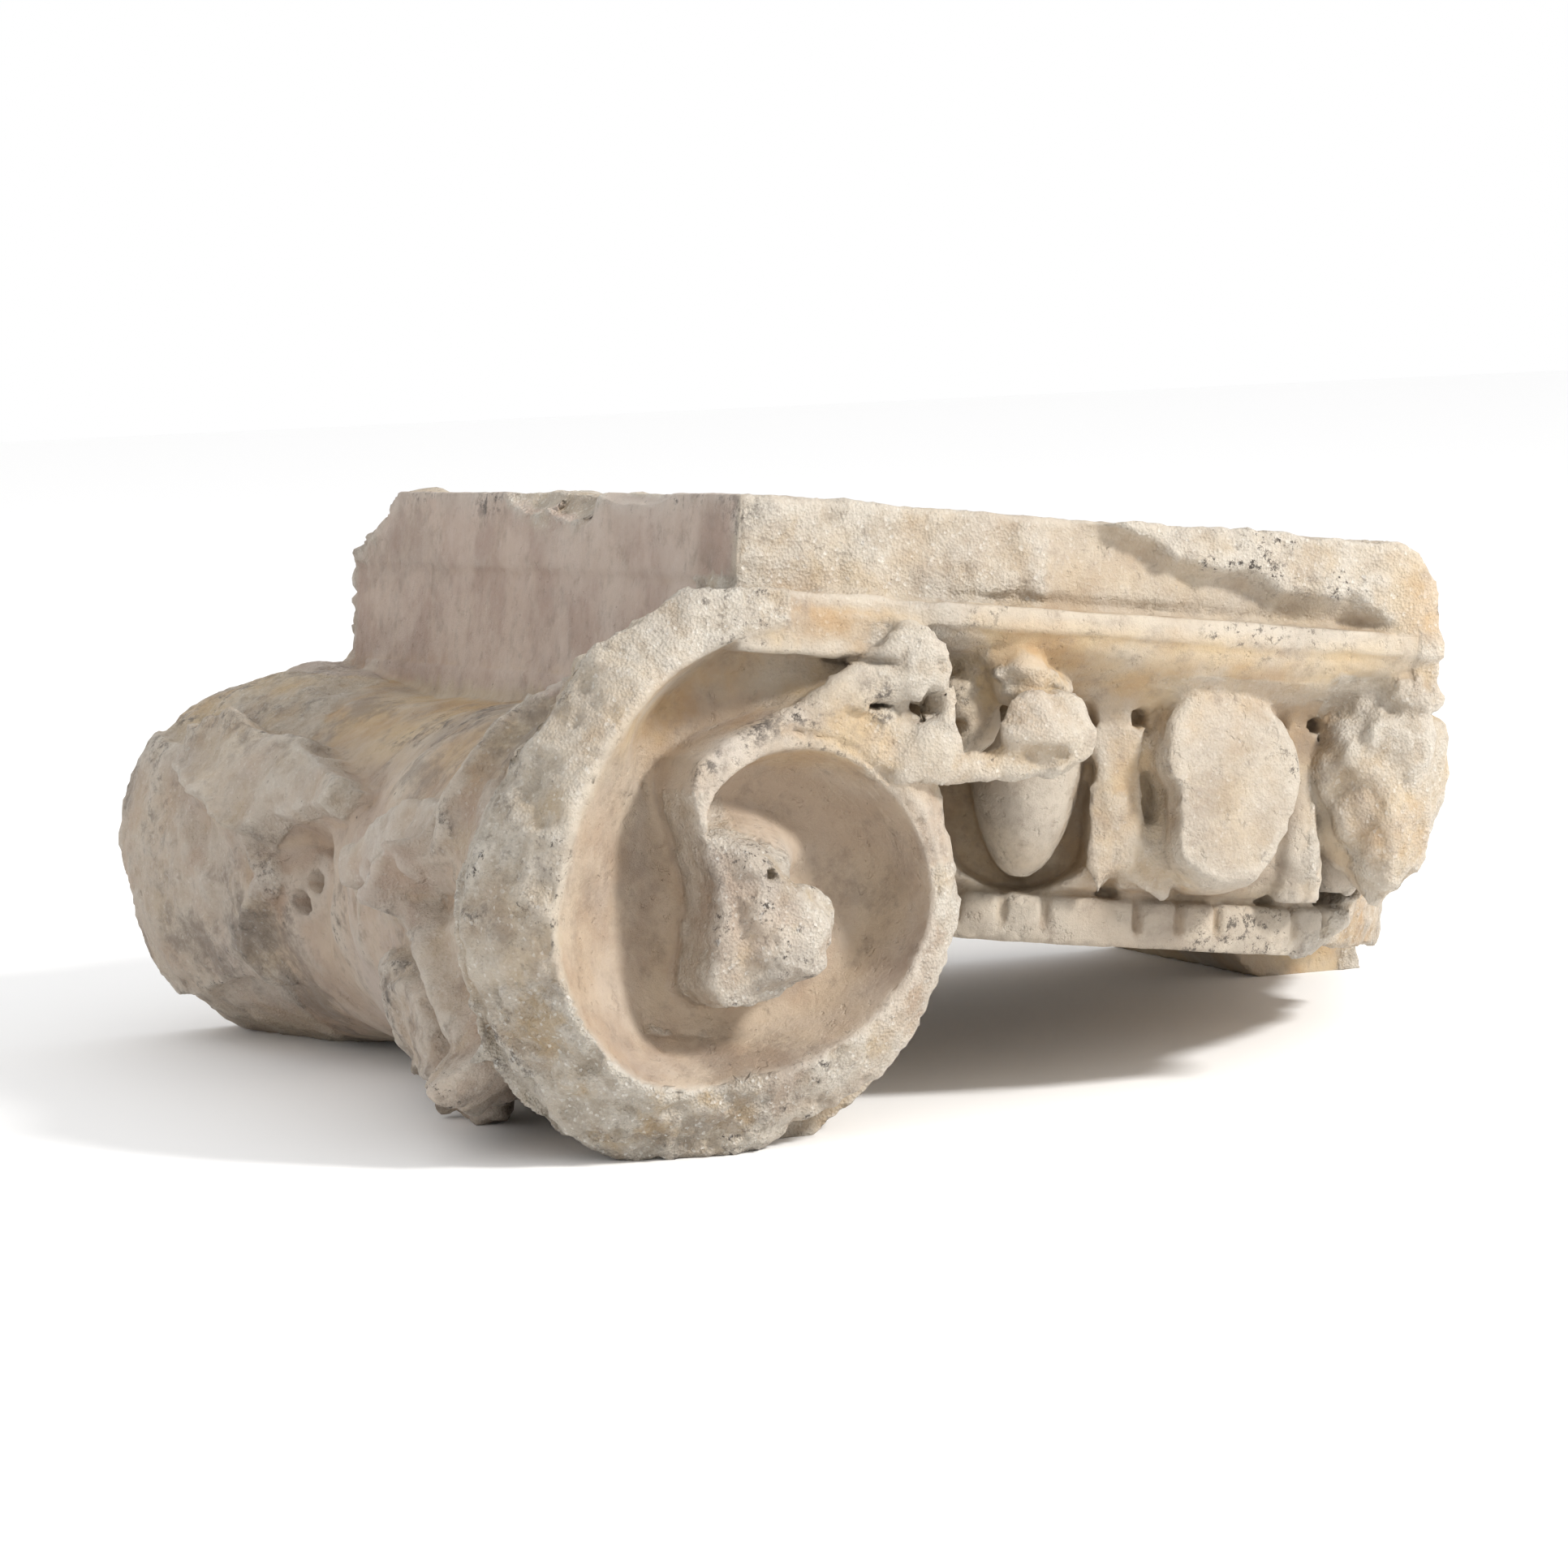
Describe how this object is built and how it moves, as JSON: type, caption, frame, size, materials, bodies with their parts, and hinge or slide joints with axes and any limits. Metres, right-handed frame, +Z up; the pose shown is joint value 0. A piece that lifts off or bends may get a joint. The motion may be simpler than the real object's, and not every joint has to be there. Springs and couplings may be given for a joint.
{
  "type": "ionic capital",
  "caption": "Broken ionic capital of marble, with one volute and its leaf-carved bolster, egg-and-dart, bead-and-reel and a square abacus.",
  "frame": {"origin": "on the ground under the middle of the capital as it lies", "axes": "+X along the front toward the broken right end, +Y from the front face to the back, +Z up; the block lies 7 degrees off level on three places"},
  "size_m": [0.646, 0.5206, 0.2709],
  "materials": {
    "weathered_marble": "matte"
  },
  "bodies": {
    "root": {"ionic_capital": "weathered_marble"}
  },
  "joints": []
}
